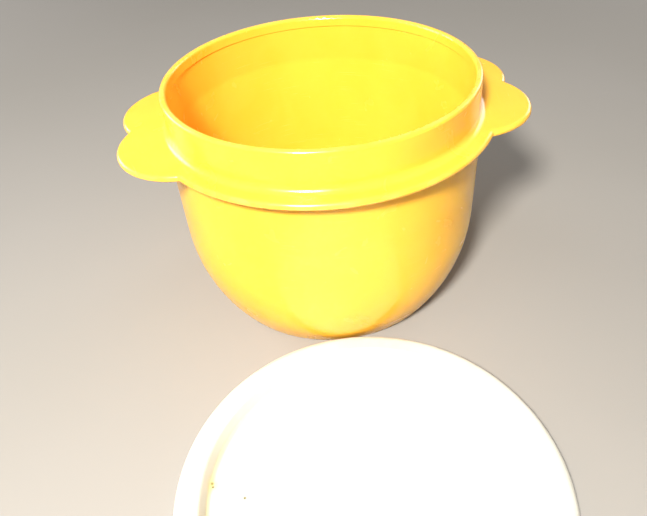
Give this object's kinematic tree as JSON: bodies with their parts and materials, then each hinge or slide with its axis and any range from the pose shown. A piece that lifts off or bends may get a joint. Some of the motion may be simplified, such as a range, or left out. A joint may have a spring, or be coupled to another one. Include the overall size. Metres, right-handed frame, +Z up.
{
  "type": "insulated yogurt maker bowl",
  "caption": "Round insulated yogurt maker: a lift-out bowl with lobed side handles, a foam-lined outer tub and a press-on lid lying beside it.",
  "frame": {"origin": "centre of the outer shell's foot, on the surface that it stands on", "axes": "+Z up along the bowl's axis; the two handles lie along +X and -X; the lid lies flat towards -Y"},
  "size_m": [0.2084, 0.3312, 0.1275],
  "materials": {
    "shell_plastic": "glossy moulded, golden yellow",
    "bowl_plastic": "glossy moulded, golden yellow",
    "foam": "moulded bead foam",
    "lid_plastic": "satin moulded, ivory white"
  },
  "bodies": {
    "shell": {"outer_shell": "shell_plastic", "foam_liner": "foam"},
    "bowl": {"inner_bowl": "bowl_plastic"},
    "lid": {"lid": "lid_plastic"}
  },
  "joints": [
    {"name": "bowl_lift", "type": "slide", "parent": "shell", "child": "bowl", "axis": [0, 0, 1], "range_m": [0, 0.13]},
    {"name": "lid_lift", "type": "slide", "parent": "shell", "child": "lid", "axis": [-0.0493, -0.7054, 0.7071], "range_m": [0, 0.15]}
  ]
}
